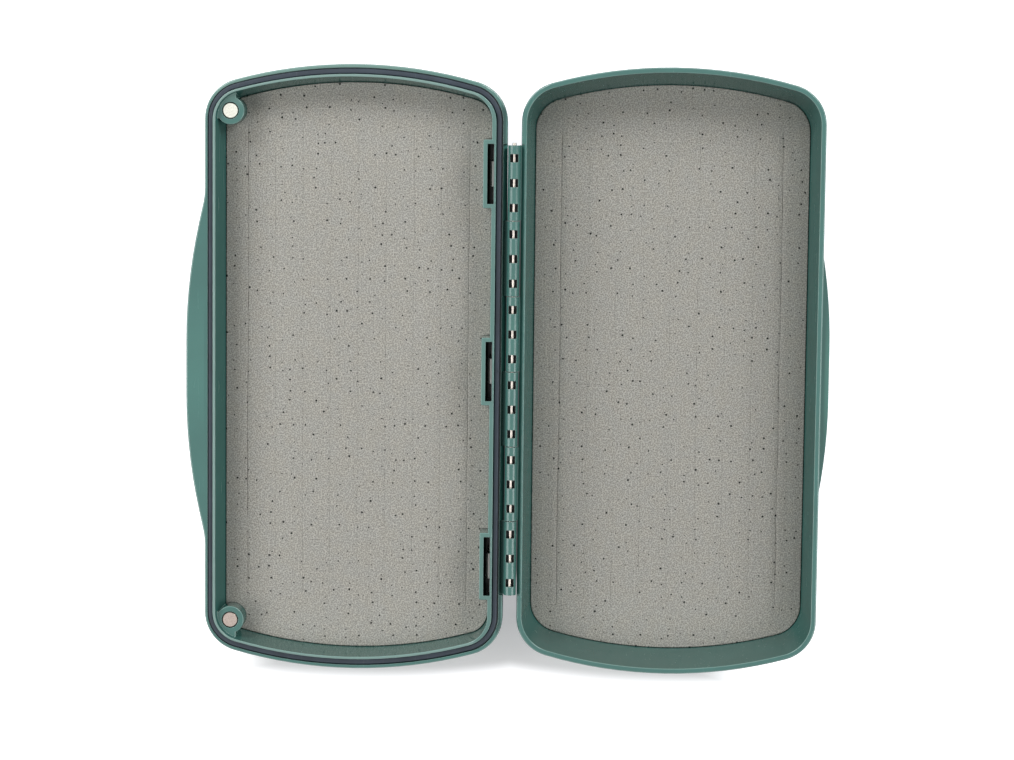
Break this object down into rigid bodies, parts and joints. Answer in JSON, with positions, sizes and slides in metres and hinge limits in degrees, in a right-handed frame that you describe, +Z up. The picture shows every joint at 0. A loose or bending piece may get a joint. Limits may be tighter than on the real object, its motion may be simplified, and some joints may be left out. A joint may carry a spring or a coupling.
{
  "type": "fly box",
  "caption": "Clamshell fly box opened flat: moulded halves on a knuckle hinge with a steel pin, slit foam pads, rim seal, corner magnets and sprung leaf sockets.",
  "frame": {"origin": "centre of the flat underside of the base half, which lies on the ground", "axes": "+Z up, out of the open halves; +Y along the hinge pin; +X from the base across the hinge to the opened lid"},
  "size_m": [0.2221, 0.21, 0.0243],
  "materials": {
    "shell_plastic": "satin moulded ABS, dark teal green",
    "seal_rubber": "smooth slate-grey silicone cord",
    "foam": "closed-cell EVA foam, warm grey with dark specks",
    "pin_steel": "drawn stainless wire",
    "spring_steel": "stamped stainless strip",
    "magnet_nickel": "nickel-plated disc"
  },
  "bodies": {
    "base": {"base_shell": "shell_plastic", "seal": "seal_rubber", "base_foam": "foam", "hinge_pin": "pin_steel", "leaf_spring_upper": "spring_steel", "leaf_spring_middle": "spring_steel", "leaf_spring_lower": "spring_steel", "magnet_upper": "magnet_nickel", "magnet_lower": "magnet_nickel"},
    "lid": {"lid_shell": "shell_plastic", "lid_foam": "foam"}
  },
  "joints": [
    {"name": "lid_hinge", "type": "hinge", "parent": "base", "child": "lid", "pos_m": [0.0544, 0, 0.0221], "axis": [0, -1, 0], "range_deg": [0, 180]}
  ]
}
